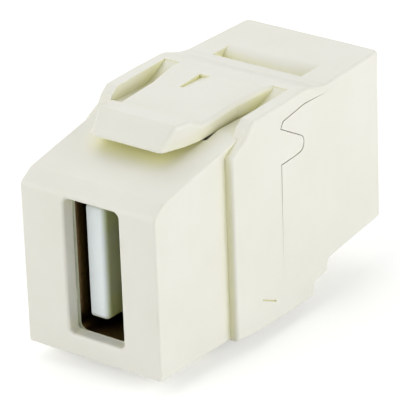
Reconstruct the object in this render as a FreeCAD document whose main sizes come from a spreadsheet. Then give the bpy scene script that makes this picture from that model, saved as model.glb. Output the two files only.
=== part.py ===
import FreeCAD, Part
import Sketcher
import os

# A panel-snap coupler with a socket at each end, in millimetres.
# +X is right, +Y is back and +Z is up; the front face looks toward -Y.
# Bodies are drawn from the front lower edge of the nose and moved together.

doc = FreeCAD.newDocument("coupler")

# Driving sizes: alias, value, meaning
SIZES = [
    # Nose
    ("nose_width", 14.5, "width of the nose"),
    ("front_height", 15.05, "height of the flat front face"),
    ("bevel_run", 1.5, "bevel over the front face, front to back"),
    ("bevel_rise", 0.95, "bevel over the front face, height"),
    ("bevel_round", 0.8, "rounding at both ends of the bevel"),
    ("nose_end", 12.0, "where the sloped nose top ends"),
    ("nose_top_end", 18.25, "height of the nose top where it ends"),
    ("nose_round", 0.22, "rounding of the outer nose edges"),
    ("catch_width", 9.6, "width of the bottom catch"),
    ("catch_drop", 1.35, "depth of the bottom catch"),
    ("catch_front_y", 5.2, "front of the bottom catch"),
    ("catch_lip", 0.05, "upright start of the bottom catch"),
    ("catch_tip_y", 7.5, "front of the catch's flat tip"),
    ("catch_back_y", 8.4, "upright back of the bottom catch"),
    # Body with shoulders and rails
    ("shoulder_y", 9.7, "front of the shoulders"),
    ("shoulder_top", 17.1, "top of the shoulders at their front"),
    ("body_width", 16.06, "width over the shoulders"),
    ("body_bottom", -0.3, "underside of the body"),
    ("lead_length", 2.6, "sloped start of the underside"),
    ("rail_foot_y", 11.6, "foot of the rail fronts"),
    ("rail_foot_z", 18.1, "height of the rail foot"),
    ("rail_brow_y", 12.1, "brow of the rail fronts"),
    ("rail_brow_z", 18.85, "height of the rail brow"),
    ("rail_top_y", 12.9, "front end of the rail tops"),
    ("rail_front_z", 19.45, "height of the rails at the front"),
    ("rail_back_z", 19.8, "height of the rails at the back"),
    ("rail_end_y", 20.6, "back end of the rails"),
    ("ramp_low_y", 22.7, "foot of the ramp behind the rails"),
    ("ramp_low_z", 19.15, "height of the ramp foot"),
    ("ramp_end_y", 23.9, "back end of the front housing"),
    ("ramp_end_z", 19.0, "height where the two housings meet on top"),
    ("ramp_round", 2.0, "rounding at the top of the ramp"),
    ("body_round", 0.28, "rounding of the outer body edges"),
    ("plate_end_y", 21.15, "end of the bottom plate"),
    ("plate_top_z", 1.05, "top of the bottom plate"),
    ("mark_front_y", 13.4, "side groove, front end"),
    ("mark_front_z", 2.45, "side groove, height of its front end"),
    ("mark_back_y", 15.35, "side groove, back end"),
    ("mark_back_z", 1.6, "side groove, height of its back end"),
    ("mark_width", 0.16, "side groove, width"),
    ("mark_depth", 0.15, "side groove, depth"),
    # Seam between the housings
    ("seam_y", 16.55, "upright seam"),
    ("seam_gap", 0.12, "gap of the seam where it shows"),
    ("seam_low_z", 3.9, "where the seam begins to show"),
    ("tab_low_z", 14.15, "underside of the D-shaped tab"),
    ("tab_mid_z", 14.2, "underside of the tab, halfway"),
    ("tab_end_y", 20.05, "end of the tab"),
    ("tab_tip_low_z", 14.35, "lower corner of the tab's end"),
    ("tab_tip_high_z", 15.5, "upper corner of the tab's end"),
    ("tab_round", 0.75, "rounding of the tab's end"),
    ("notch_z", 17.4, "inner corner over the tab"),
    ("lip_y", 16.9, "front of the lip over the notch"),
    ("lip_z", 18.05, "underside of the lip at its front"),
    ("lip_back_y", 20.2, "back of the lip's level stretch"),
    ("lip_back_z", 18.5, "underside of the lip at its back"),
    ("lip_end_z", 18.3, "underside of the lip at its end"),
    ("behind_low_z", 14.0, "underside of the space behind the seam"),
    ("behind_end_y", 23.8, "back end of the space behind the seam"),
    # Latch and its pocket
    ("latch_width", 9.2, "width of the latch"),
    ("head_width", 7.6, "width of the latch at its front edge"),
    ("root_width", 10.6, "width of the latch at its root"),
    ("head_taper_y", 9.5, "where the latch reaches its width"),
    ("flare_y", 15.0, "where the latch begins to flare"),
    ("flare_end_y", 19.6, "where the flare ends"),
    ("tip_y", 5.4, "front edge of the latch head"),
    ("tip_low_z", 18.2, "front edge, lower side"),
    ("tip_high_z", 18.4, "front edge, upper side"),
    ("crest_front_y", 7.2, "front of the head's crest"),
    ("crest_front_z", 20.15, "height of the crest at its front"),
    ("crest_back_y", 9.0, "back of the head's crest"),
    ("crest_back_z", 20.05, "height of the crest at its back"),
    ("neck_y", 10.3, "where the head meets the spring plate"),
    ("neck_z", 19.3, "top of the spring plate at its front"),
    ("swell_y", 18.5, "where the spring plate ends"),
    ("swell_z", 19.92, "top of the spring plate at its back"),
    ("latch_end_y", 20.4, "back end of the latch"),
    ("latch_end_z", 19.75, "top of the latch at its back end"),
    ("under_front_y", 8.0, "underside, back of the head"),
    ("under_front_z", 18.0, "underside of the head at its back"),
    ("under_back_z", 18.1, "underside of the latch at its root"),
    ("latch_round", 0.45, "rounding of the latch edges"),
    ("dent_left", -1.7, "thumb dent, deep side"),
    ("dent_right", -0.4, "thumb dent, side where it runs out"),
    ("dent_front_y", 15.2, "thumb dent, front edge"),
    ("dent_back_y", 18.1, "thumb dent, back edge"),
    ("dent_low_z", 19.5, "thumb dent, floor at its deep side"),
    ("dent_high_z", 19.9, "thumb dent, floor where it runs out"),
    ("slot_width", 13.4, "distance between the rails"),
    ("slot_front_y", 10.6, "front of the slot between the rails"),
    ("scarp_y", 17.15, "foot of the curved slot end"),
    ("scarp_z", 18.3, "height of that foot"),
    ("slot_end_y", 19.55, "back end of the slot"),
    ("slot_end_z", 19.66, "foot of the low wall at the slot's back end"),
    ("scarp_round", 2.6, "curve of the slot end"),
    ("pocket_gap", 0.25, "gap beside the latch in its pocket"),
    ("pocket_front_y", 10.3, "front of the latch pocket"),
    ("pocket_back_y", 15.7, "back of the pocket floor"),
    ("pocket_floor_z", 16.4, "floor of the latch pocket"),
    ("pocket_end_y", 16.5, "back end of the latch pocket"),
    ("pocket_top_z", 18.5, "open top of the latch pocket"),
    ("root_front_y", 15.0, "block under the latch root, front"),
    ("root_back_y", 23.0, "block under the latch root, back"),
    ("root_low_z", 17.2, "block under the latch root, underside"),
    ("root_high_z", 18.4, "block under the latch root, top at its front"),
    ("root_mid_z", 18.8, "block under the latch root, top over the lip"),
    ("root_end_z", 18.7, "block under the latch root, top at its back"),
    ("root_span", 12.0, "block under the latch root, across"),
    # Rear housing
    ("overall", 32.5, "length from face to face"),
    ("rear_width", 14.6, "width at the rear face"),
    ("taper_y", 17.0, "where the sides begin to taper"),
    ("rear_top_z", 19.25, "height at the rear face"),
    ("step_y", 23.5, "second step of the underside"),
    ("step_z", 2.35, "underside behind the second step"),
    ("step_run", 0.2, "slope of the second step"),
    ("step_low_z", 1.35, "foot of the second step"),
    ("rear_bottom_z", 3.2, "underside at the rear face"),
    ("corner_round", 0.6, "rounding of the rear upright edges"),
    ("rear_round", 0.3, "rounding of the other rear edges"),
    ("scoop_front", 24.1, "finger recess, front wall"),
    ("scoop_left", -4.9, "finger recess, left end"),
    ("scoop_right", 4.8, "finger recess, right end"),
    ("scoop_floor", 1.1, "finger recess, level floor front to back"),
    ("scoop_back_left", 25.9, "finger recess, back slope's top on the left"),
    ("scoop_back_right", 26.7, "finger recess, back slope's top on the right"),
    ("scoop_rim", 19.05, "finger recess, height of its rim"),
    ("scoop_depth", 1.4, "finger recess, depth at its front wall"),
    ("scoop_foot_round", 0.8, "finger recess, curve at the foot of the slope"),
    ("scoop_rim_round", 1.2, "finger recess, rolled rim at the top of the slope"),
    # Walls and spaces inside
    ("front_wall", 1.25, "thickness of the front and rear walls"),
    ("cavity_width", 12.2, "width inside the front housing"),
    ("rear_cavity_width", 11.8, "width inside the rear housing"),
    ("skirt_width", 12.3, "width inside the front part of the rear housing"),
    ("skirt_floor", 2.3, "floor inside the front part of the rear housing"),
    ("skirt_end_y", 23.4, "back end of that front part's inside"),
    ("rear_cavity_y", 22.0, "front end of the space inside the rear housing"),
    ("rib_thick", 1.0, "thickness of the inner ribs"),
    ("bite", 0.3, "depth to which ribs and catch sink into a wall"),
    # Sockets
    ("window_width", 5.9, "socket window, across"),
    ("window_height", 12.55, "socket window, upright"),
    ("window_round", 0.5, "corner radius of the socket windows"),
    ("window_rim", 0.3, "rounding of the socket windows' outer rims"),
    ("window_x", 0.34, "offset of the socket windows to the right"),
    ("socket_x", 0.25, "offset of the sockets to the right"),
    ("front_socket_z", 8.28, "middle of the front socket"),
    ("rear_socket_z", 10.6, "middle of the rear socket"),
    ("shell_width", 5.68, "socket shell, outside across"),
    ("shell_height", 13.06, "socket shell, outside upright"),
    ("shell_wall", 0.3, "socket shell, sheet thickness"),
    ("shell_length", 12.6, "socket shell, front to back"),
    ("shell_round", 1.0, "socket shell, corner radius"),
    ("spring_front", 2.2, "spring fingers, front end of their slots"),
    ("spring_back", 7.4, "spring fingers, back end of their slots"),
    ("spring_cut", 0.4, "spring fingers, width of their slots"),
    ("tongue_gap", 0.53, "gap between the shell and the tongue"),
    ("tongue_thick", 1.84, "tongue thickness"),
    ("tongue_height", 10.7, "tongue, upright"),
    ("tongue_inset", 0.8, "tongue front behind the shell front"),
    ("tongue_bevel", 0.55, "rounding of the tongue's contact edge"),
    ("tongue_corner", 0.5, "rounding of the tongue's corners"),
    ("base_length", 3.0, "insulator block, front to back"),
    ("groove_depth", 0.2, "contact groove depth, and strip thickness"),
    ("strip_width", 1.0, "contact strip width"),
    ("strip_inset", 2.1, "contact strip behind the tongue front"),
    ("foot_length", 0.9, "contact foot on the board"),
    ("leg_gap", 0.35, "contact leg behind the shell"),
    ("board_thick", 1.2, "circuit board thickness"),
    ("board_front", 8.0, "front edge of the board"),
    ("board_back", 24.3, "back edge of the board"),
    ("board_low", 4.2, "lower edge of the board"),
    ("board_high", 14.6, "upper edge of the board"),
]

# Offsets from the middle of a socket: the four strips, the spring fingers and the slots beside a finger
STRIPS = (-3.5, -1.0, 1.0, 3.5)
SPRINGS = (-3.0, 3.0)
SPRING_SLOTS = (-0.85, 0.85)

# Heights of the ribs that hold board and shells
FRONT_RIBS = (5.2, 13.4)
REAR_RIBS = (6.4, 13.0)

# A cut that has to clear the part goes this far past it
PAST = 2.0

# A groove opens this far past the face it is cut into
HAIR = 0.001

# How far an edge may lie from the tab's drawn end and still be rounded with it
TAB_SLACK = 0.28

# The finger recess is lofted past its rim, to this multiple of its depth
OVERSHOOT = 1.4

sheet = doc.addObject("Spreadsheet::Sheet", "Sizes")
for row, (alias, value, meaning) in enumerate(SIZES, start=1):
    sheet.set("A%d" % row, alias)
    sheet.set("B%d" % row, str(value))
    sheet.set("C%d" % row, meaning)
    sheet.setAlias("B%d" % row, alias)
doc.recompute()


class Dim:
    """A length with its value now and the sheet expression that drives it."""

    def __init__(self, value, text):
        self.value = float(value)
        self.text = text

    def _join(self, other, sign, value):
        return Dim(value, "(%s %s %s)" % (self.text, sign, other.text))

    def __add__(self, other):
        other = dim(other)
        return self._join(other, "+", self.value + other.value)

    def __sub__(self, other):
        other = dim(other)
        return self._join(other, "-", self.value - other.value)

    def __mul__(self, factor):
        return self._join(dim(factor), "*", self.value * factor)

    def __truediv__(self, factor):
        return self._join(dim(factor), "/", self.value / factor)

    def __neg__(self):
        return Dim(-self.value, "(0 - %s)" % self.text)


def dim(value):
    """A plain number as a Dim; a Dim stays as it is."""
    return value if isinstance(value, Dim) else Dim(value, "%.6g" % value)


def size(alias):
    """The Dim of one cell of the sheet."""
    return Dim(sheet.get(alias), "Sizes." + alias)


def bind(target, path, value):
    """Drives one property or constraint of target by a Dim."""
    target.setExpression(path, dim(value).text)


def new_body(label):
    body = doc.addObject("PartDesign::Body", label)
    body.Label = label
    return body


def new_sketch(body, name, plane, offset=None):
    """An empty sketch on an origin plane of body, moved along the plane's normal by offset."""
    sketch = body.newObject("Sketcher::SketchObject", name)
    feature = [f for f in body.Origin.OriginFeatures if f.Role == plane][0]
    sketch.AttachmentSupport = [(feature, "")]
    sketch.MapMode = "FlatFace"
    if offset is not None:
        shift = FreeCAD.Vector(0, 0, dim(offset).value)
        sketch.AttachmentOffset = FreeCAD.Placement(shift, FreeCAD.Rotation())
        bind(sketch, "AttachmentOffset.Base.z", offset)
    return sketch


def pin(sketch, kind, geo, value):
    """Fixes the start of line geo at a distance from the origin, driven by the sheet."""
    value = dim(value)
    index = sketch.addConstraint(Sketcher.Constraint(kind, -1, 1, geo, 1, value.value))
    if "Sizes" in value.text:
        bind(sketch, "Constraints[%d]" % index, value)


def add_loop(sketch, corners):
    """A closed polygon whose corners (two Dims each) are all dimensioned."""
    spots = [FreeCAD.Vector(dim(a).value, dim(b).value, 0) for a, b in corners]
    first = sketch.GeometryCount
    count = len(spots)
    for i in range(count):
        sketch.addGeometry(Part.LineSegment(spots[i], spots[(i + 1) % count]))
    for i in range(count):
        sketch.addConstraint(Sketcher.Constraint("Coincident", first + i, 2, first + (i + 1) % count, 1))
    for i, (a, b) in enumerate(corners):
        pin(sketch, "DistanceX", first + i, a)
        pin(sketch, "DistanceY", first + i, b)


def box_loop(sketch, left, right, low, high):
    add_loop(sketch, [(left, low), (right, low), (right, high), (left, high)])


def extrude(body, kind, sketch, length, symmetric=False, reverse=False):
    """A pad or pocket of a sketch; the change of volume is checked."""
    before = body.Shape.Volume if body.Tip and body.Tip != sketch and not body.Shape.isNull() else 0.0
    feature = body.newObject("PartDesign::" + kind, sketch.Name + "_" + kind.lower())
    feature.Profile = sketch
    feature.SideType = "Symmetric" if symmetric else "One side"
    feature.Reversed = reverse
    feature.Length = dim(length).value
    bind(feature, "Length", length)
    doc.recompute()
    change = body.Shape.Volume - before
    if (change <= 1e-4) if kind == "Pad" else (change >= -1e-4):
        raise RuntimeError("%s changed the volume by %.4f" % (feature.Name, change))
    return feature


def side_shape(body, name, kind, corners, width):
    """Pads or pockets a side profile (y, z) evenly to both sides of the middle."""
    sketch = new_sketch(body, name, "YZ_Plane")
    add_loop(sketch, corners)
    return extrude(body, kind, sketch, width, symmetric=True)


def cross_box(body, name, kind, x_range, z_range, y_from, y_to):
    """Pads or pockets a rectangle seen from the front, from one depth to another."""
    sketch = new_sketch(body, name, "XZ_Plane", -dim(y_from))
    box_loop(sketch, x_range[0], x_range[1], z_range[0], z_range[1])
    length = dim(y_to) - y_from
    return extrude(body, kind, sketch, length, reverse=(kind == "Pad"))


def pick_edges(shape, test):
    """Names of the edges whose middle point and end-to-end direction pass the test."""
    names = []
    for number, edge in enumerate(shape.Edges, start=1):
        if edge.Length < 1e-4:
            continue
        a = edge.valueAt(edge.FirstParameter)
        b = edge.valueAt(edge.LastParameter)
        middle = edge.valueAt((edge.FirstParameter + edge.LastParameter) / 2)
        along = b - a
        if along.Length > 1e-6:
            along.normalize()
        if test(middle, along, edge):
            names.append("Edge%d" % number)
    return names


def soften(body, name, radius, test):
    """Rounds the edges that pass the test."""
    base = body.Tip
    names = pick_edges(base.Shape, test)
    if not names:
        raise RuntimeError("no edge found for " + name)
    feature = body.newObject("PartDesign::Fillet", name)
    feature.Base = (base, names)
    feature.Radius = dim(radius).value
    bind(feature, "Radius", radius)
    doc.recompute()
    if not feature.Shape.isValid():
        raise RuntimeError("edge treatment failed: " + name)
    return feature


def near(value, target, slack=0.02):
    return abs(value - dim(target).value) <= slack


def across(direction):
    """True for an edge that runs from left to right."""
    return abs(direction.x) > 0.99


s = {alias: size(alias) for alias, _, _ in SIZES}
half_body = s["body_width"] / 2
half_rear = s["rear_width"] / 2
half_shell = s["shell_height"] / 2
half_cavity = s["cavity_width"] / 2
half_rear_cavity = s["rear_cavity_width"] / 2
board_x = s["socket_x"] + s["shell_width"] / 2
board_out = board_x + s["board_thick"]
shell_left = s["socket_x"] - s["shell_width"] / 2
rear_wall_y = s["overall"] - s["front_wall"]
nose_slope = (s["nose_top_end"] - s["front_height"] - s["bevel_rise"]) / (
    s["nose_end"].value - s["bevel_run"].value)


def seam_line(gap):
    """Seam seen from the side, up from the bottom plate; the rear side keeps off by gap where it shows."""
    gap = dim(gap)
    return [
        (s["plate_end_y"], s["plate_top_z"]),
        (s["seam_y"], s["plate_top_z"]),
        (s["seam_y"], s["seam_low_z"]),
        (s["seam_y"] + gap, s["tab_low_z"] - gap),
        ((s["seam_y"] + s["tab_end_y"]) / 2 + gap, s["tab_mid_z"] - gap),
        (s["tab_end_y"] + gap, s["tab_tip_low_z"] - gap),
        (s["tab_end_y"] + gap, s["tab_tip_high_z"]),
        (s["seam_y"] + gap, s["notch_z"]),
        (s["lip_y"] + gap, s["lip_z"] - gap),
        (s["lip_back_y"], s["lip_back_z"] - gap),
        (s["ramp_end_y"], s["lip_end_z"]),
    ]


def round_seam_tab(body, name):
    """Rounds the free end of the D-shaped tab, or the end of its notch."""
    end = s["tab_end_y"].value
    low = s["tab_tip_low_z"].value
    high = s["tab_tip_high_z"].value
    soften(body, name, s["tab_round"], lambda m, d, e: (
        across(d) and abs(m.y - end) < TAB_SLACK and low - TAB_SLACK < m.z < high + TAB_SLACK))


def trim_sides(body, name):
    """Tapers both sides toward the rear face."""
    sketch = new_sketch(body, name, "XY_Plane", dim(-PAST))
    end = s["overall"] + PAST
    for sign in (1, -1):
        add_loop(sketch, [
            (half_body * sign, s["taper_y"]),
            (half_body * sign + PAST * sign, s["taper_y"]),
            (half_body * sign + PAST * sign, end),
            (half_rear * sign, end),
            (half_rear * sign, s["overall"]),
        ])
    extrude(body, "Pocket", sketch, s["crest_front_z"] + 2 * PAST, reverse=True)


def join(body, tool, name):
    """Fuses the finished body of a moulded feature into body."""
    feature = body.newObject("PartDesign::Boolean", name)
    feature.Type = "Fuse"
    feature.setObjects([tool])
    doc.recompute()
    if not feature.Shape.isValid():
        raise RuntimeError("join failed: " + name)


def socket_window(body, name, y_from, y_to, face_y, middle):
    """Cuts a socket opening with rounded corners through a wall, and rounds its rim on the outer face."""
    cross_box(
        body, name, "Pocket",
        (s["window_x"] - s["window_width"] / 2, s["window_x"] + s["window_width"] / 2),
        (middle - s["window_height"] / 2, middle + s["window_height"] / 2), y_from, y_to)
    reach = s["window_width"].value / 2
    tall = s["window_height"].value / 2
    soften(body, name + "_corners", s["window_round"], lambda m, d, e: (
        abs(d.y) > 0.99 and dim(y_from).value < m.y < dim(y_to).value
        and near(abs(m.x - s["window_x"].value), reach) and near(abs(m.z - middle.value), tall)))
    soften(body, name + "_rim", s["window_rim"], lambda m, d, e: (
        near(m.y, face_y) and abs(m.x - s["window_x"].value) < reach + s["bite"].value
        and abs(m.z - middle.value) < tall + s["bite"].value))


def side_marks(body):
    """Cuts a short slanted groove into each side."""
    inside = half_body - s["mark_depth"]
    for name, sign in (("right_mark", 1), ("left_mark", -1)):
        sketch = new_sketch(body, name, "YZ_Plane", inside * sign)
        add_loop(sketch, [
            (s["mark_front_y"], s["mark_front_z"]),
            (s["mark_back_y"], s["mark_back_z"]),
            (s["mark_back_y"], s["mark_back_z"] + s["mark_width"]),
            (s["mark_front_y"], s["mark_front_z"] + s["mark_width"]),
        ])
        extrude(body, "Pocket", sketch, s["mark_depth"] * 2, reverse=(sign > 0))


def finger_scoop(body):
    """Cuts the finger recess: upright front wall, level floor, back slope that leans more on the right."""
    foot_back = s["scoop_front"] + s["scoop_floor"]
    foot_z = s["scoop_rim"] - s["scoop_depth"]
    over_z = foot_z + s["scoop_depth"] * OVERSHOOT
    profiles = []
    for side in ("left", "right"):
        sketch = new_sketch(body, "scoop_side_" + side, "YZ_Plane", s["scoop_" + side])
        slope_run = s["scoop_back_" + side] - foot_back
        add_loop(sketch, [
            (s["scoop_front"], foot_z),
            (foot_back, foot_z),
            (foot_back + slope_run * OVERSHOOT, over_z),
            (s["scoop_front"], over_z),
        ])
        profiles.append(sketch)
    before = body.Shape.Volume
    scoop = body.newObject("PartDesign::SubtractiveLoft", "scoop")
    scoop.Profile = profiles[0]
    scoop.Sections = profiles[1:]
    scoop.Ruled = True
    doc.recompute()
    if body.Shape.Volume > before - 1:
        raise RuntimeError("the finger recess cut nothing")
    soften(body, "scoop_foot_rounding", s["scoop_foot_round"], lambda m, d, e: (
        abs(d.x) > 0.9 and near(m.z, foot_z) and m.y > s["scoop_front"].value + 0.1))
    soften(body, "scoop_rim_rounding", s["scoop_rim_round"], lambda m, d, e: (
        abs(d.x) > 0.9 and near(m.z, s["scoop_rim"], 0.1)
        and s["scoop_back_left"].value - 0.1 < m.y < s["scoop_back_right"].value + 0.3))


# Nose with the bevelled face and the catch under it
nose = new_body("nose_form")
side_shape(nose, "nose_side", "Pad", [
    (dim(0), dim(0)),
    (s["nose_end"], dim(0)),
    (s["nose_end"], s["nose_top_end"]),
    (s["bevel_run"], s["front_height"] + s["bevel_rise"]),
    (dim(0), s["front_height"]),
], s["nose_width"])
soften(nose, "bevel_rounding", s["bevel_round"], lambda m, d, e: (
    across(d) and m.y < s["bevel_run"].value + 0.5 and m.z > s["front_height"].value - 0.5))
soften(nose, "nose_rounding", s["nose_round"], lambda m, d, e: (
    (abs(d.x) < 0.5 and m.y < s["nose_end"].value - 0.1) or (near(m.y, 0) and near(m.z, 0))))
side_shape(nose, "catch_side", "Pad", [
    (s["catch_front_y"], s["bite"]),
    (s["catch_front_y"], -s["catch_lip"]),
    (s["catch_tip_y"], -s["catch_drop"]),
    (s["catch_back_y"], -s["catch_drop"]),
    (s["catch_back_y"], s["bite"]),
], s["catch_width"])

# Latch with its wedge head, spring plate, flared root and thumb dent
latch = new_body("latch_form")
side_shape(latch, "latch_side", "Pad", [
    (s["tip_y"], s["tip_low_z"]),
    (s["under_front_y"], s["under_front_z"]),
    (s["latch_end_y"], s["under_back_z"]),
    (s["latch_end_y"], s["latch_end_z"]),
    (s["swell_y"], s["swell_z"]),
    (s["neck_y"], s["neck_z"]),
    (s["crest_back_y"], s["crest_back_z"]),
    (s["crest_front_y"], s["crest_front_z"]),
    (s["tip_y"], s["tip_high_z"]),
], s["root_width"])
latch_trim = new_sketch(latch, "latch_trim", "XY_Plane", s["root_low_z"])
for sign in (1, -1):
    outside = s["root_width"] / 2 * sign + PAST * sign
    add_loop(latch_trim, [
        (s["head_width"] / 2 * sign, s["tip_y"] - s["bite"]),
        (outside, s["tip_y"] - s["bite"]),
        (outside, s["flare_end_y"]),
        (s["root_width"] / 2 * sign, s["flare_end_y"]),
        (s["latch_width"] / 2 * sign, s["flare_y"]),
        (s["latch_width"] / 2 * sign, s["head_taper_y"]),
    ])
extrude(latch, "Pocket", latch_trim, s["crest_front_z"] - s["root_low_z"] + PAST, reverse=True)
thumb_dent = new_sketch(latch, "thumb_dent", "XZ_Plane", -s["dent_front_y"])
add_loop(thumb_dent, [
    (s["dent_left"], s["dent_low_z"]),
    (s["dent_right"], s["dent_high_z"]),
    (s["dent_right"], s["swell_z"] + PAST),
    (s["dent_left"], s["swell_z"] + PAST),
])
extrude(latch, "Pocket", thumb_dent, s["dent_back_y"] - s["dent_front_y"])
soften(latch, "latch_rounding", s["latch_round"], lambda m, d, e: (
    m.z > s["tip_low_z"].value + 0.05 and m.y < s["flare_end_y"].value - 0.1
    and abs(d.x) < 0.9 and abs(m.x) > 3.0))

# Front housing
front = new_body("front_housing")
side_shape(front, "body_side", "Pad", [
    (s["shoulder_y"], dim(0)),
    (s["shoulder_y"] + s["lead_length"], s["body_bottom"]),
    (s["plate_end_y"], s["body_bottom"]),
] + seam_line(0) + [
    (s["ramp_end_y"], s["ramp_end_z"]),
    (s["ramp_low_y"], s["ramp_low_z"]),
    (s["rail_end_y"], s["rail_back_z"]),
    (s["rail_top_y"], s["rail_front_z"]),
    (s["rail_brow_y"], s["rail_brow_z"]),
    (s["rail_foot_y"], s["rail_foot_z"]),
    (s["shoulder_y"], s["shoulder_top"]),
], s["body_width"])
trim_sides(front, "front_taper")
round_seam_tab(front, "tab_rounding")
soften(front, "ramp_rounding", s["ramp_round"], lambda m, d, e: (
    across(d) and near(m.y, s["rail_end_y"], 0.1) and near(m.z, s["rail_back_z"], 0.1)))
soften(front, "body_rounding", s["body_round"], lambda m, d, e: (
    abs(d.x) < 0.5 and (
        m.z > s["rail_brow_z"].value + 0.05 or m.z < 0 or near(m.y, s["shoulder_y"])
        or (m.y < s["rail_top_y"].value and m.z > s["shoulder_top"].value - 0.2))))
side_marks(front)
side_shape(front, "root_side", "Pad", [
    (s["root_front_y"], s["root_low_z"]),
    (s["root_back_y"], s["root_low_z"]),
    (s["root_back_y"], s["root_end_z"]),
    (s["lip_back_y"], s["root_mid_z"]),
    (s["root_front_y"], s["root_high_z"]),
], s["root_span"])
join(front, nose, "nose_join")

# Space inside, the latch pocket and the gap behind the seam
cross_box(front, "cavity", "Pocket", (-half_cavity, half_cavity),
          (s["front_socket_z"] - half_shell, s["front_socket_z"] + half_shell),
          s["front_wall"], s["ramp_end_y"] + s["bite"])
side_shape(front, "behind_seam", "Pocket", [
    (s["seam_y"], s["behind_low_z"]),
    (s["behind_end_y"], s["behind_low_z"]),
    (s["behind_end_y"], s["root_low_z"]),
    (s["seam_y"], s["root_low_z"]),
], s["cavity_width"])
side_shape(front, "rail_slot", "Pocket", [
    (s["slot_front_y"], s["nose_top_end"] - nose_slope * (s["nose_end"].value - s["slot_front_y"].value)),
    (s["nose_end"], s["nose_top_end"]),
    (s["scarp_y"], s["scarp_z"]),
    (s["slot_end_y"], s["slot_end_z"]),
    (s["slot_end_y"], s["crest_front_z"] + PAST),
    (s["slot_front_y"], s["crest_front_z"] + PAST),
], s["slot_width"])
soften(front, "scarp_rounding", s["scarp_round"], lambda m, d, e: (
    across(d) and near(m.y, s["scarp_y"]) and near(m.z, s["scarp_z"])))
side_shape(front, "latch_pocket", "Pocket", [
    (s["pocket_front_y"], s["pocket_floor_z"]),
    (s["pocket_back_y"], s["pocket_floor_z"]),
    (s["pocket_end_y"], s["pocket_top_z"]),
    (s["pocket_front_y"], s["pocket_top_z"]),
], s["latch_width"] + s["pocket_gap"] * 2)
socket_window(front, "front_window", -s["bite"], s["front_wall"] + s["bite"], dim(0),
              s["front_socket_z"])
for number, middle in enumerate(FRONT_RIBS, start=1):
    heights = (dim(middle) - s["rib_thick"] / 2, dim(middle) + s["rib_thick"] / 2)
    cross_box(front, "board_rib_%d" % number, "Pad", (board_out, half_cavity + s["bite"]),
              heights, s["board_front"], s["seam_y"])
    cross_box(front, "shell_rib_%d" % number, "Pad", (-half_cavity - s["bite"], shell_left),
              heights, s["front_wall"], s["shell_length"])
join(front, latch, "latch_join")

# Rear housing
rear = new_body("rear_housing")
side_shape(rear, "rear_side", "Pad", [
    (s["step_y"] - s["step_run"], s["step_low_z"]),
] + seam_line(s["seam_gap"]) + [
    (s["ramp_end_y"], s["ramp_end_z"]),
    (s["overall"], s["rear_top_z"]),
    (s["overall"], s["rear_bottom_z"]),
    (s["step_y"], s["step_z"]),
], s["body_width"])
trim_sides(rear, "rear_taper")
round_seam_tab(rear, "notch_rounding")
soften(rear, "corner_rounding", s["corner_round"], lambda m, d, e: (
    abs(d.z) > 0.99 and near(m.y, s["overall"])))
soften(rear, "rear_rounding", s["rear_round"], lambda m, d, e: (
    m.y > s["ramp_end_y"].value + 0.05
    and (m.z > s["ramp_end_z"].value - 0.1 or m.z < s["rear_bottom_z"].value + 0.8)
    and (abs(d.x) < 0.99 or m.y > s["overall"].value - 1)))
cross_box(rear, "skirt_space", "Pocket", (-s["skirt_width"] / 2, s["skirt_width"] / 2),
          (s["skirt_floor"], s["crest_front_z"] + PAST), s["root_front_y"], s["skirt_end_y"])
cross_box(rear, "rear_cavity", "Pocket", (-half_rear_cavity, half_rear_cavity),
          (s["rear_socket_z"] - half_shell, s["rear_socket_z"] + half_shell),
          s["rear_cavity_y"], rear_wall_y)
finger_scoop(rear)
socket_window(rear, "rear_window", rear_wall_y - s["bite"], s["overall"] + s["bite"], s["overall"],
              s["rear_socket_z"])
for number, middle in enumerate(REAR_RIBS, start=1):
    heights = (dim(middle) - s["rib_thick"] / 2, dim(middle) + s["rib_thick"] / 2)
    cross_box(rear, "rear_shell_rib_%d" % number, "Pad", (-half_rear_cavity - s["bite"], shell_left),
              heights, s["ramp_end_y"], rear_wall_y)
    cross_box(rear, "rear_stop_rib_%d" % number, "Pad", (board_x, half_rear_cavity + s["bite"]),
              heights, s["board_back"], rear_wall_y)


def make_shell(label):
    """A rolled sheet tube with spring slots in its two wide faces."""
    body = new_body(label)
    wide = s["shell_width"] / 2
    tall = s["shell_height"] / 2
    wall = s["shell_wall"]
    cross_box(body, label + "_outside", "Pad", (-wide, wide), (-tall, tall), dim(0), s["shell_length"])
    soften(body, label + "_outer_round", s["shell_round"], lambda m, d, e: abs(d.y) > 0.99)
    cross_box(body, label + "_inside", "Pocket", (wall - wide, wide - wall), (wall - tall, tall - wall),
              dim(0), s["shell_length"])
    soften(body, label + "_inner_round", s["shell_round"] - wall, lambda m, d, e: (
        abs(d.y) > 0.99 and near(abs(m.x), wide - wall) and near(abs(m.z), tall - wall)))
    slots = new_sketch(body, label + "_slots", "YZ_Plane")
    for middle in SPRINGS:
        for shift in SPRING_SLOTS:
            edge = dim(middle + shift)
            box_loop(slots, s["spring_front"], s["spring_back"],
                     edge - s["spring_cut"] / 2, edge + s["spring_cut"] / 2)
    extrude(body, "Pocket", slots, s["shell_width"] + PAST, symmetric=True)
    return body


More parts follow.
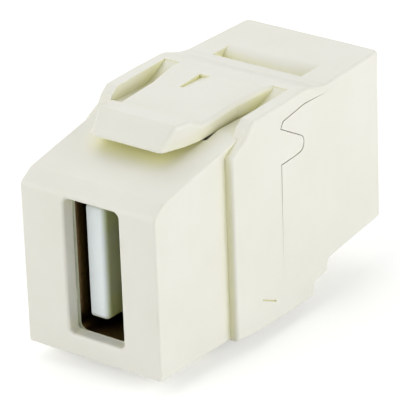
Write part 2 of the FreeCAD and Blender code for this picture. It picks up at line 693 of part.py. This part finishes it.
def make_insulator(label):
    """The block at the back of a socket with its tongue; the strips lie in grooves."""
    body = new_body(label)
    wide = s["shell_width"] / 2 - s["shell_wall"]
    tall = s["shell_height"] / 2 - s["shell_wall"]
    low_x = s["tongue_gap"] - wide
    high_x = low_x + s["tongue_thick"]
    block_y = s["shell_length"] - s["base_length"]
    half_tongue = s["tongue_height"] / 2
    cross_box(body, label + "_tongue", "Pad", (low_x, high_x), (-half_tongue, half_tongue),
              s["tongue_inset"], s["shell_length"])
    soften(body, label + "_contact_edge", s["tongue_bevel"], lambda m, d, e: (
        abs(d.z) > 0.99 and near(m.y, s["tongue_inset"]) and near(m.x, high_x)))
    soften(body, label + "_tongue_corners", s["tongue_corner"], lambda m, d, e: (
        across(d) and near(m.y, s["tongue_inset"])))
    cross_box(body, label + "_block", "Pad", (-wide, wide), (-tall, tall), block_y, s["shell_length"])
    soften(body, label + "_block_round", s["shell_round"] - s["shell_wall"], lambda m, d, e: (
        abs(d.y) > 0.99 and near(abs(m.x), wide) and near(abs(m.z), tall)))
    grooves = new_sketch(body, label + "_grooves", "XZ_Plane", -(s["tongue_inset"] + s["strip_inset"]))
    for middle in STRIPS:
        box_loop(grooves, high_x - s["groove_depth"], high_x + HAIR,
                 dim(middle) - s["strip_width"] / 2, dim(middle) + s["strip_width"] / 2)
    extrude(body, "Pocket", grooves, s["shell_length"])
    return body


def make_contact(label, middle):
    """One strip: along the tongue, out at the back and over to its foot on the board."""
    body = new_body(label)
    thick = s["groove_depth"]
    high_x = s["tongue_gap"] - s["shell_width"] / 2 + s["shell_wall"] + s["tongue_thick"]
    start = s["tongue_inset"] + s["strip_inset"]
    leg = s["shell_length"] + s["leg_gap"]
    foot_end = leg + s["foot_length"]
    foot_x = s["shell_width"] / 2
    sketch = new_sketch(body, label + "_side", "XY_Plane", dim(middle))
    add_loop(sketch, [
        (high_x - thick, start),
        (high_x, start),
        (high_x, leg),
        (foot_x, leg),
        (foot_x, foot_end),
        (foot_x - thick, foot_end),
        (foot_x - thick, leg + thick),
        (high_x - thick, leg + thick),
    ])
    extrude(body, "Pad", sketch, s["strip_width"], symmetric=True)
    return body


def place_body(body, base, turned=False):
    """Puts a body's own origin at base, moved so that the part stands over the shared origin.

    A turned body is swung round the x axis, so that a socket faces back.
    """
    body.Placement = FreeCAD.Placement(
        FreeCAD.Vector(0, 0, 0), FreeCAD.Rotation(FreeCAD.Vector(1, 0, 0), 180 if turned else 0))
    bind(body, "Placement.Base.x", base[0])
    bind(body, "Placement.Base.y", dim(base[1]) - s["overall"] / 2)
    bind(body, "Placement.Base.z", dim(base[2]) + s["catch_drop"])


# Sockets, strips and board
sockets = []
for place, depth, height in (("front", s["front_wall"], s["front_socket_z"]),
                             ("rear", rear_wall_y, s["rear_socket_z"])):
    pieces = [make_shell(place + "_shell"), make_insulator(place + "_insulator")]
    for number, middle in enumerate(STRIPS, start=1):
        pieces.append(make_contact("%s_contact_%d" % (place, number), middle))
    for piece in pieces:
        place_body(piece, (s["socket_x"], depth, height), turned=(place == "rear"))
    sockets += pieces

board = new_body("circuit_board")
cross_box(board, "board_outline", "Pad", (board_x, board_out), (s["board_low"], s["board_high"]),
          s["board_front"], s["board_back"])
for body in (front, rear, board):
    place_body(body, (dim(0), dim(0), dim(0)))
doc.recompute()

# Checks and files
for item in doc.Objects:
    if "Invalid" in item.State or "Error" in item.State:
        raise RuntimeError("not built: " + item.Name)
bodies = [front, rear, board] + sockets
for body in bodies:
    shape = body.Shape
    if shape.isNull() or not shape.isValid():
        raise RuntimeError("bad shape: " + body.Label)
    if len(shape.Solids) != 1:
        raise RuntimeError("%s has %d solids" % (body.Label, len(shape.Solids)))
os.makedirs("parts", exist_ok=True)
for body in bodies:
    body.Shape.exportStep("parts/%s.step" % body.Label)
    box = body.Shape.BoundBox
    print("%-18s %8.1f mm3  x %.2f %.2f  y %.2f %.2f  z %.2f %.2f" % (
        body.Label, body.Shape.Volume, box.XMin, box.XMax, box.YMin, box.YMax, box.ZMin, box.ZMax))
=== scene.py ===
"""Finishes, light and camera for a snap-in socket coupler.

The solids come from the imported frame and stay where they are; this script dresses them.
Lengths are metres unless a name says otherwise. +Z is up and the front face looks toward -Y.
"""
import logging
import math
from dataclasses import dataclass
from enum import Enum

import bpy
from mathutils import Matrix, Vector

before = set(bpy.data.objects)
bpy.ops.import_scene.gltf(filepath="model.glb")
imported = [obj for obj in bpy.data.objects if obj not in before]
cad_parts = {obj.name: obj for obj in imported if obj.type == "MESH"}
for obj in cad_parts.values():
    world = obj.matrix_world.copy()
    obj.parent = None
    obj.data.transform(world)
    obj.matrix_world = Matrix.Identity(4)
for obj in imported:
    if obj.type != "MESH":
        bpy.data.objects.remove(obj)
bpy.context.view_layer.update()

LOG = logging.getLogger("coupler")
MM = 0.001
NodeInputs = dict[str | int, object]
Triple = tuple[float, float, float]
Span = tuple[float, float]

# Numbers of the colour sockets of a Mix node, whose names are shared by its other data types
MIX_A, MIX_B, MIX_RESULT = 6, 7, 2

# Rays that feel for nearby walls from each point of a surface
WALL_RAYS = 12

# Strength at which a sky that is seen is white
WHITE = 1.0

# The sRGB curve: up to the knee a straight foot, past it a power of the shifted value
SRGB_KNEE = 0.04045
SRGB_FOOT = 12.92
SRGB_SHIFT = 0.055
SRGB_POWER = 2.4


def linear(code: str) -> tuple[float, float, float, float]:
    """Turns an sRGB hex colour into linear values.

    Args:
        code: colour such as "#EAE8DA".

    Returns:
        Red, green and blue in linear light, with an alpha of 1.
    """
    channels = [int(code[i:i + 2], 16) / 255 for i in (1, 3, 5)]
    red, green, blue = (
        c / SRGB_FOOT if c <= SRGB_KNEE else ((c + SRGB_SHIFT) / (1 + SRGB_SHIFT)) ** SRGB_POWER
        for c in channels)
    return (red, green, blue, 1.0)


def per_metre(feature_mm: float) -> float:
    """Returns the texture scale that gives features of about that many millimetres."""
    return 1 / (feature_mm * MM)


def add_node(
        tree: bpy.types.NodeTree,
        kind: str,
        inputs: NodeInputs | None = None,
        **settings: object) -> bpy.types.Node:
    """Adds one node with its settings, socket values and links.

    Args:
        tree: node tree that takes the node.
        kind: Blender's name of the node type.
        inputs: socket name or number, to a constant or to a (node, output) pair that is linked.
        settings: properties of the node itself.

    Returns:
        The new node.
    """
    node = tree.nodes.new(kind)
    for name, value in settings.items():
        setattr(node, name, value)
    for socket, value in (inputs or {}).items():
        if isinstance(value, tuple) and isinstance(value[0], bpy.types.Node):
            tree.links.new(value[0].outputs[value[1]], node.inputs[socket])
        else:
            node.inputs[socket].default_value = value
    return node


def new_material(name: str) -> tuple[bpy.types.Material, bpy.types.NodeTree]:
    """Starts a material with no nodes.

    Args:
        name: name of the material.

    Returns:
        The material and its empty node tree.
    """
    material = bpy.data.materials.new(name)
    material.use_nodes = True
    material.node_tree.nodes.clear()
    return material, material.node_tree


def facing_endwise(tree: bpy.types.NodeTree, place: bpy.types.Node) -> bpy.types.Node:
    """Measures how squarely a face looks along the part.

    Args:
        tree: node tree of the finish.
        place: texture coordinate node of that tree.

    Returns:
        A node whose value is 1 on faces that look straight to the front or the rear, and 0 on sides and tops.
    """
    facing = add_node(tree, "ShaderNodeSeparateXYZ", {"Vector": (place, "Normal")})
    return add_node(tree, "ShaderNodeMath", {0: (facing, "Y")}, operation="ABSOLUTE")


def seen_rays(tree: bpy.types.NodeTree) -> bpy.types.Node:
    """Picks out the rays that show the studio itself.

    Args:
        tree: node tree of the floor or of the sky.

    Returns:
        A node whose value is 1 for camera rays and mirrored rays, and 0 for the rays that light the part.
    """
    rays = add_node(tree, "ShaderNodeLightPath")
    return add_node(tree, "ShaderNodeMath", {
        0: (rays, "Is Camera Ray"), 1: (rays, "Is Glossy Ray")}, operation="MAXIMUM")


@dataclass(frozen=True)
class MouldedPlastic:
    """A pigmented moulding: satin skin, a fine spark-eroded grain and a wall that lets a little light in.

    Where close walls shade each other, a painted shade colour is mixed into the skin's colour; it stands
    in for light that stays between the walls and takes on the plastic's colour.

    Attributes:
        name: name of the material.
        colour: colour of the skin.
        shade: colour of the slightly deeper clouds in the plastic's colour.
        painted_gap_shade: painted shade colour in narrow gaps and inner corners.
        roughness: mean roughness of the skin.
        gloss_span: least and most that the grain adds to the roughness.
        ior: refraction of the polymer.
        grain_mm: grain of the mould; the real one is near 0.05 and is drawn coarser so that it shows.
        grain_depth_mm: height of that grain.
        grain_strength: share of that height that tilts the light.
        grain_octaves: how many finer grains are laid over it.
        cloud_mm: size of the clouds in the pigment.
        cloud_span: values of the cloud pattern between which the shade turns into the skin's colour.
        cloud_octaves: how many finer clouds are laid over them.
        inside: share of light that travels in the wall.
        inside_mm: how far it travels there.
        inside_rgb: how far red, green and blue travel, as shares of that.
        reach_mm: how far apart walls still shade each other.
        shut: share of open directions at which the painted shade is full.
        clear: share of open directions from which the skin keeps its own colour.
        own_walls: whether only walls of the same moulding shade each other.
        spare_ends: how far faces that look along the part are spared the painted shade, from 0 to 1.
    """

    name: str
    colour: str
    shade: str
    painted_gap_shade: str
    roughness: float = 0.42
    gloss_span: Span = (-0.05, 0.06)
    ior: float = 1.54
    grain_mm: float = 0.22
    grain_depth_mm: float = 0.004
    grain_strength: float = 0.35
    grain_octaves: float = 2.0
    cloud_mm: float = 6.0
    cloud_span: Span = (0.3, 0.62)
    cloud_octaves: float = 3.0
    inside: float = 0.12
    inside_mm: float = 0.5
    inside_rgb: Triple = (1.0, 0.95, 0.8)
    reach_mm: float = 2.0
    shut: float = 0.28
    clear: float = 0.97
    own_walls: bool = True
    spare_ends: float = 0.0

    def material(self) -> bpy.types.Material:
        """Builds the material.

        Returns:
            The finish, ready to be given to a solid.
        """
        material, tree = new_material(self.name)
        place = add_node(tree, "ShaderNodeTexCoord")
        clouds = add_node(tree, "ShaderNodeTexNoise", {
            "Vector": (place, "Object"), "Scale": per_metre(self.cloud_mm), "Detail": self.cloud_octaves})
        tint = add_node(tree, "ShaderNodeValToRGB", {"Fac": (clouds, "Fac")})
        for stop, position, code in zip(tint.color_ramp.elements, self.cloud_span, (self.shade, self.colour)):
            stop.position = position
            stop.color = linear(code)
        # Painted shade: the painted gap shade is mixed in where close walls shade a point
        hollow = add_node(tree, "ShaderNodeAmbientOcclusion", {
            "Distance": self.reach_mm * MM}, samples=WALL_RAYS, only_local=self.own_walls)
        open_share = add_node(tree, "ShaderNodeMapRange", {
            "Value": (hollow, "AO"), "From Min": self.shut, "From Max": self.clear})
        endwise = facing_endwise(tree, place)
        spared = add_node(tree, "ShaderNodeMath", {
            0: (endwise, "Value"), 1: self.spare_ends}, operation="MULTIPLY")
        skin_share = add_node(tree, "ShaderNodeMath", {
            0: (open_share, "Result"), 1: (spared, "Value")}, operation="MAXIMUM")
        base_with_painted_shade = add_node(tree, "ShaderNodeMix", {
            "Factor": (skin_share, "Value"),
            MIX_A: linear(self.painted_gap_shade),
            MIX_B: (tint, "Color")}, data_type="RGBA")
        grain = add_node(tree, "ShaderNodeTexNoise", {
            "Vector": (place, "Object"), "Scale": per_metre(self.grain_mm), "Detail": self.grain_octaves})
        gloss = add_node(tree, "ShaderNodeMapRange", {
            "Value": (grain, "Fac"),
            "To Min": self.roughness + self.gloss_span[0],
            "To Max": self.roughness + self.gloss_span[1]})
        bump = add_node(tree, "ShaderNodeBump", {
            "Height": (grain, "Fac"), "Strength": self.grain_strength, "Distance": self.grain_depth_mm * MM})
        skin = add_node(tree, "ShaderNodeBsdfPrincipled", {
            "Base Color": (base_with_painted_shade, MIX_RESULT),
            "Roughness": (gloss, "Result"),
            "Normal": (bump, "Normal"),
            "IOR": self.ior,
            "Subsurface Weight": self.inside,
            "Subsurface Scale": self.inside_mm * MM,
            "Subsurface Radius": self.inside_rgb})
        add_node(tree, "ShaderNodeOutputMaterial", {"Surface": (skin, "BSDF")})
        return material


@dataclass(frozen=True)
class PlatedMetal:
    """Plated sheet metal: fine rolling lines, painted shade deep inside and edges where the sheet was
    sheared.

    Attributes:
        name: name of the material.
        colour: colour of the plating.
        dull: colour where the plating is thin.
        painted_inner_shade: painted shade colour deep inside a rolled tube.
        edge: colour of the sheared ends, which look along the part.
        roughness: mean roughness.
        gloss_span: least and most that the lines add to the roughness.
        line_mm: spacing of the rolling lines, drawn coarser than the real 0.03 so that they show.
        line_depth_mm: depth of those lines.
        line_strength: share of that depth that tilts the light.
        line_span: values of the line pattern between which the dull colour turns into the plating's.
        line_octaves: how many finer lines are laid over them.
        stretch: scale of the pattern along the part; below 1 it draws the lines out.
        reach_mm: how far apart walls still count as inside.
        shut: share of open directions at which the painted shade is full.
        clear: share of open directions from which the plating keeps its own colour.
        sheared_from: how squarely a face has to look along the part to count as sheared.
    """

    name: str
    colour: str
    dull: str
    painted_inner_shade: str
    edge: str
    roughness: float = 0.3
    gloss_span: Span = (-0.07, 0.1)
    line_mm: float = 0.08
    line_depth_mm: float = 0.003
    line_strength: float = 0.15
    line_span: Span = (0.25, 0.6)
    line_octaves: float = 2.0
    stretch: float = 0.04
    reach_mm: float = 6.0
    shut: float = 0.1
    clear: float = 0.6
    sheared_from: float = 0.9

    def material(self) -> bpy.types.Material:
        """Builds the material.

        Returns:
            The finish, ready to be given to a solid.
        """
        material, tree = new_material(self.name)
        place = add_node(tree, "ShaderNodeTexCoord")
        along = add_node(tree, "ShaderNodeMapping", {
            "Vector": (place, "Object"), "Scale": (1.0, self.stretch, 1.0)})
        lines = add_node(tree, "ShaderNodeTexNoise", {
            "Vector": (along, "Vector"), "Scale": per_metre(self.line_mm), "Detail": self.line_octaves})
        tint = add_node(tree, "ShaderNodeValToRGB", {"Fac": (lines, "Fac")})
        for stop, position, code in zip(tint.color_ramp.elements, self.line_span, (self.dull, self.colour)):
            stop.position = position
            stop.color = linear(code)
        # Painted shade: the painted inner shade replaces the plating's colour deep inside the tube
        hollow = add_node(tree, "ShaderNodeAmbientOcclusion", {
            "Distance": self.reach_mm * MM}, samples=WALL_RAYS)
        open_share = add_node(tree, "ShaderNodeMapRange", {
            "Value": (hollow, "AO"), "From Min": self.shut, "From Max": self.clear})
        plating = add_node(tree, "ShaderNodeMix", {
            "Factor": (open_share, "Result"),
            MIX_A: linear(self.painted_inner_shade),
            MIX_B: (tint, "Color")}, data_type="RGBA")
        endwise = facing_endwise(tree, place)
        sheared = add_node(tree, "ShaderNodeMath", {
            0: (endwise, "Value"), 1: self.sheared_from}, operation="GREATER_THAN")
        colour = add_node(tree, "ShaderNodeMix", {
            "Factor": (sheared, "Value"),
            MIX_A: (plating, MIX_RESULT),
            MIX_B: linear(self.edge)}, data_type="RGBA")
        gloss = add_node(tree, "ShaderNodeMapRange", {
            "Value": (lines, "Fac"),
            "To Min": self.roughness + self.gloss_span[0],
            "To Max": self.roughness + self.gloss_span[1]})
        bump = add_node(tree, "ShaderNodeBump", {
            "Height": (lines, "Fac"), "Strength": self.line_strength, "Distance": self.line_depth_mm * MM})
        skin = add_node(tree, "ShaderNodeBsdfPrincipled", {
            "Base Color": (colour, MIX_RESULT),
            "Roughness": (gloss, "Result"),
            "Normal": (bump, "Normal"),
            "Metallic": 1.0})
        add_node(tree, "ShaderNodeOutputMaterial", {"Surface": (skin, "BSDF")})
        return material


@dataclass(frozen=True)
class SolderMask:
    """Green lacquer over a glass-fibre board: the weave of the fibre shows as a faint relief.

    Attributes:
        name: name of the material.
        colour: colour of the lacquer between the threads.
        thread: colour of the lacquer over the threads.
        thread_mm: spacing of the threads.
        threads_per_metre: threads, two to a wave, that a wave pattern of scale 1 shows.
        weave_depth_mm: height of the threads under the lacquer.
        weave_strength: share of that height that tilts the light.
        roughness: roughness of the lacquer.
        ior: refraction of the lacquer.
    """

    name: str = "solder_mask"
    colour: str = "#14512F"
    thread: str = "#1B6239"
    thread_mm: float = 0.5
    threads_per_metre: float = 6.3
    weave_depth_mm: float = 0.01
    weave_strength: float = 0.3
    roughness: float = 0.32
    ior: float = 1.5

    def material(self) -> bpy.types.Material:
        """Builds the material.

        Returns:
            The finish, ready to be given to a solid.
        """
        material, tree = new_material(self.name)
        place = add_node(tree, "ShaderNodeTexCoord")
        scale = per_metre(self.thread_mm) / self.threads_per_metre
        warp, weft = (
            add_node(tree, "ShaderNodeTexWave", {
                "Vector": (place, "Object"), "Scale": scale}, bands_direction=direction)
            for direction in ("Y", "Z"))
        weave = add_node(tree, "ShaderNodeMath", {0: (warp, "Fac"), 1: (weft, "Fac")}, operation="MULTIPLY")
        tint = add_node(tree, "ShaderNodeValToRGB", {"Fac": (weave, "Value")})
        for stop, code in zip(tint.color_ramp.elements, (self.colour, self.thread)):
            stop.color = linear(code)
        bump = add_node(tree, "ShaderNodeBump", {
            "Height": (weave, "Value"),
            "Strength": self.weave_strength,
            "Distance": self.weave_depth_mm * MM})
        skin = add_node(tree, "ShaderNodeBsdfPrincipled", {
            "Base Color": (tint, "Color"),
            "Normal": (bump, "Normal"),
            "Roughness": self.roughness,
            "IOR": self.ior})
        add_node(tree, "ShaderNodeOutputMaterial", {"Surface": (skin, "BSDF")})
        return material


class End(Enum):
    """The two ends of the coupler."""

    FRONT = "front"
    REAR = "rear"


def dress(node: str, material: bpy.types.Material) -> None:
    """Gives a solid of the frame its finish.

    Args:
        node: name of the solid.
        material: finish for all its faces.
    """
    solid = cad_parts[node]
    solid.data.materials.clear()
    solid.data.materials.append(material)
    LOG.info("dressed %s in %s", node, material.name)


@dataclass
class Housings:
    """The two ivory mouldings that close round the sockets."""

    # Moulded ABS, pigmented ivory: an even satin sheen, and a painted straw shade in slots and corners
    plastic: MouldedPlastic = MouldedPlastic("ivory_abs", "#EEEDE3", "#EBEADE", "#EBE9BB")

    def build(self) -> None:
        """Dresses both housings in the same moulding."""
        skin = self.plastic.material()
        for end in End:
            dress(f"{end.value}_housing", skin)


@dataclass
class Sockets:
    """Shell, insulator and contact strips at each end, and the board between them."""

    # Nickel on rolled steel sheet: a warm dull tube, painted shade nearly black inside, a pale cut edge
    nickel: PlatedMetal = PlatedMetal("nickel_plated_steel", "#8C6F4A", "#7E6342", "#2C1B0C", "#C4C8B8")
    # Gold on stamped copper strip: warm bright lines, painted shade in hollows, cut ends as bright as the
    # faces
    gold: PlatedMetal = PlatedMetal(
        "gold_plated_copper", "#D9B15C", "#C49A47", "#8C6A2C", "#D9B15C", roughness=0.24)
    # Moulded PBT, a cool white: a painted olive shade on the sides that the shell shades, none on its end
    white: MouldedPlastic = MouldedPlastic(
        "white_pbt", "#F3FCFC", "#EDF6F7", "#ECFFB0", roughness=0.36, reach_mm=4.0, shut=0.45, clear=0.75,
        own_walls=False, spare_ends=1.0)
    lacquer: SolderMask = SolderMask()
    strips: int = 4

    def build(self) -> None:
        """Dresses the pieces of both sockets and the board."""
        shell = self.nickel.material()
        strip = self.gold.material()
        core = self.white.material()
        for end in End:
            dress(f"{end.value}_shell", shell)
            dress(f"{end.value}_insulator", core)
            for number in range(1, self.strips + 1):
                dress(f"{end.value}_contact_{number}", strip)
        dress("circuit_board", self.lacquer.material())


@dataclass(frozen=True)
class SoftLamp:
    """A square diffuse lamp that looks at the part.

    Attributes:
        name: name of the lamp.
        toward: direction from the part to the lamp.
        power: watts.
        side: edge of the square.
        distance: from the part.
    """

    name: str
    toward: Triple
    power: float
    side: float = 0.4
    distance: float = 0.6

    def build(self, target: Vector) -> None:
        """Hangs the lamp.

        Args:
            target: point that the lamp faces.
        """
        data = bpy.data.lights.new(self.name, "AREA")
        data.size = self.side
        data.energy = self.power
        lamp = bpy.data.objects.new(self.name, data)
        toward = Vector(self.toward).normalized()
        lamp.location = target + toward * self.distance
        lamp.rotation_euler = toward.to_track_quat("Z", "Y").to_euler()
        bpy.context.scene.collection.objects.link(lamp)


@dataclass
class Studio:
    """A pale floor, even sky light and a few broad soft lamps.

    Attributes:
        floor_half: half the edge of the floor.
        floor_colour: colour of the floor.
        floor_lift: glow that lifts the floor toward white near the part, for rays that show the floor.
        far_lift: the same glow far from the part.
        lift_from: distance from the origin at which the glow starts to grow.
        lift_to: distance at which it has grown to its far value.
        sky: strength of the sky as a light.
        lamps: the soft lamps.
    """

    floor_half: float = 3.0
    floor_colour: str = "#F4F4F3"
    floor_lift: float = 0.36
    far_lift: float = 0.8
    lift_from: float = 0.15
    lift_to: float = 0.9
    sky: float = 0.28
    lamps: tuple[SoftLamp, ...] = (
        SoftLamp("key_lamp", (-0.55, 0.25, 0.80), power=2.75, side=1.0),
        SoftLamp("right_lamp", (0.88, 0.42, 0.30), power=1.68),
        SoftLamp("low_right_lamp", (0.90, -0.30, 0.15), power=0.75),
        SoftLamp("front_lamp", (-0.36, -0.83, 0.41), power=1.58, side=0.5),
    )

    def floor(self) -> None:
        """Lays a pale sheet under the part; rays that show the sheet find it lifted toward white."""
        half = self.floor_half
        corners = [(-half, -half, 0.0), (half, -half, 0.0), (half, half, 0.0), (-half, half, 0.0)]
        mesh = bpy.data.meshes.new("floor")
        mesh.from_pydata(corners, [], [(0, 1, 2, 3)])
        sheet = bpy.data.objects.new("floor", mesh)
        bpy.context.scene.collection.objects.link(sheet)
        material, tree = new_material("pale_floor")
        seen = seen_rays(tree)
        place = add_node(tree, "ShaderNodeTexCoord")
        reach = add_node(tree, "ShaderNodeVectorMath", {0: (place, "Object")}, operation="LENGTH")
        fade = add_node(tree, "ShaderNodeMapRange", {
            "Value": (reach, "Value"),
            "From Min": self.lift_from,
            "From Max": self.lift_to,
            "To Min": self.floor_lift,
            "To Max": self.far_lift})
        lift = add_node(tree, "ShaderNodeMath", {
            0: (seen, "Value"), 1: (fade, "Result")}, operation="MULTIPLY")
        matt = add_node(tree, "ShaderNodeBsdfDiffuse", {"Color": linear(self.floor_colour)})
        glow = add_node(tree, "ShaderNodeEmission", {"Strength": (lift, "Value")})
        both = add_node(tree, "ShaderNodeAddShader", {0: (matt, "BSDF"), 1: (glow, "Emission")})
        add_node(tree, "ShaderNodeOutputMaterial", {"Surface": (both, "Shader")})
        mesh.materials.append(material)

    def sky_light(self) -> None:
        """Sets an even white sky, which camera rays and mirrored rays find fully white."""
        world = bpy.data.worlds.new("studio")
        bpy.context.scene.world = world
        world.use_nodes = True
        tree = world.node_tree
        tree.nodes.clear()
        seen = seen_rays(tree)
        strength = add_node(tree, "ShaderNodeMapRange", {
            "Value": (seen, "Value"), "To Min": self.sky, "To Max": WHITE})
        light = add_node(tree, "ShaderNodeBackground", {"Strength": (strength, "Result")})
        add_node(tree, "ShaderNodeOutputWorld", {"Surface": (light, "Background")})

    def build(self, target: Vector) -> None:
        """Builds floor, sky and lamps.

        Args:
            target: point that the lamps face.
        """
        self.floor()
        self.sky_light()
        for lamp in self.lamps:
            lamp.build(target)


@dataclass
class PhotoCamera:
    """The view of the photograph: turned to the right, from above, with a slight tilt of the picture.

    Attributes:
        azimuth: degrees to the right of the front.
        elevation: degrees above the floor.
        tilt: degrees that the picture leans.
        distance: from the eye to the subject.
        subject: point of the part that the angles and the distance are taken from.
        subject_px: where the picture shows that point, from its top left corner.
        focal_px: focal length in pixels of the picture.
        picture_px: width and height of the picture.
        sensor_mm: width of the sensor.
        nearest: distance from the eye at which the view begins.
    """

    azimuth: float = 38.224
    elevation: float = 24.296
    tilt: float = 2.106
    distance: float = 288.8 * MM
    subject: Triple = (0.0, -0.25 * MM, 9.35 * MM)
    subject_px: tuple[float, float] = (205.2, 211.1)
    focal_px: float = 3297.0
    picture_px: float = 400.0
    sensor_mm: float = 36.0
    nearest: float = 0.01

    def build(self) -> Vector:
        """Places the camera.

        Returns:
            The subject, which the lamps face too.
        """
        turn, rise, lean = (math.radians(angle) for angle in (self.azimuth, self.elevation, self.tilt))
        # Back runs from the subject to the eye, and level and upward lie across the view
        back = Vector((math.sin(turn) * math.cos(rise), -math.cos(turn) * math.cos(rise), math.sin(rise)))
        level = Vector((math.cos(turn), math.sin(turn), 0.0))
        upward = back.cross(level)
        # The lean turns those two about the line of sight
        right = level * math.cos(lean) - upward * math.sin(lean)
        up = level * math.sin(lean) + upward * math.cos(lean)
        data = bpy.data.cameras.new("photo_camera")
        data.sensor_width = self.sensor_mm
        data.lens = self.focal_px / self.picture_px * self.sensor_mm
        data.clip_start = self.nearest
        # The shift moves the subject from the middle of the picture to its place there
        data.shift_x = (self.picture_px / 2 - self.subject_px[0]) / self.picture_px
        data.shift_y = (self.subject_px[1] - self.picture_px / 2) / self.picture_px
        camera = bpy.data.objects.new("photo_camera", data)
        subject = Vector(self.subject)
        eye = subject + back * self.distance
        camera.matrix_world = Matrix((
            (right.x, up.x, back.x, eye.x),
            (right.y, up.y, back.y, eye.y),
            (right.z, up.z, back.z, eye.z),
            (0.0, 0.0, 0.0, 1.0)))
        bpy.context.scene.collection.objects.link(camera)
        bpy.context.scene.camera = camera
        return subject


def main() -> None:
    """Dresses the solids, then frames and lights them."""
    logging.basicConfig(level=logging.INFO, format="%(name)s: %(message)s")
    bpy.context.scene.view_settings.view_transform = "Standard"
    Housings().build()
    Sockets().build()
    subject = PhotoCamera().build()
    Studio().build(subject)


if __name__ == "__main__":
    main()
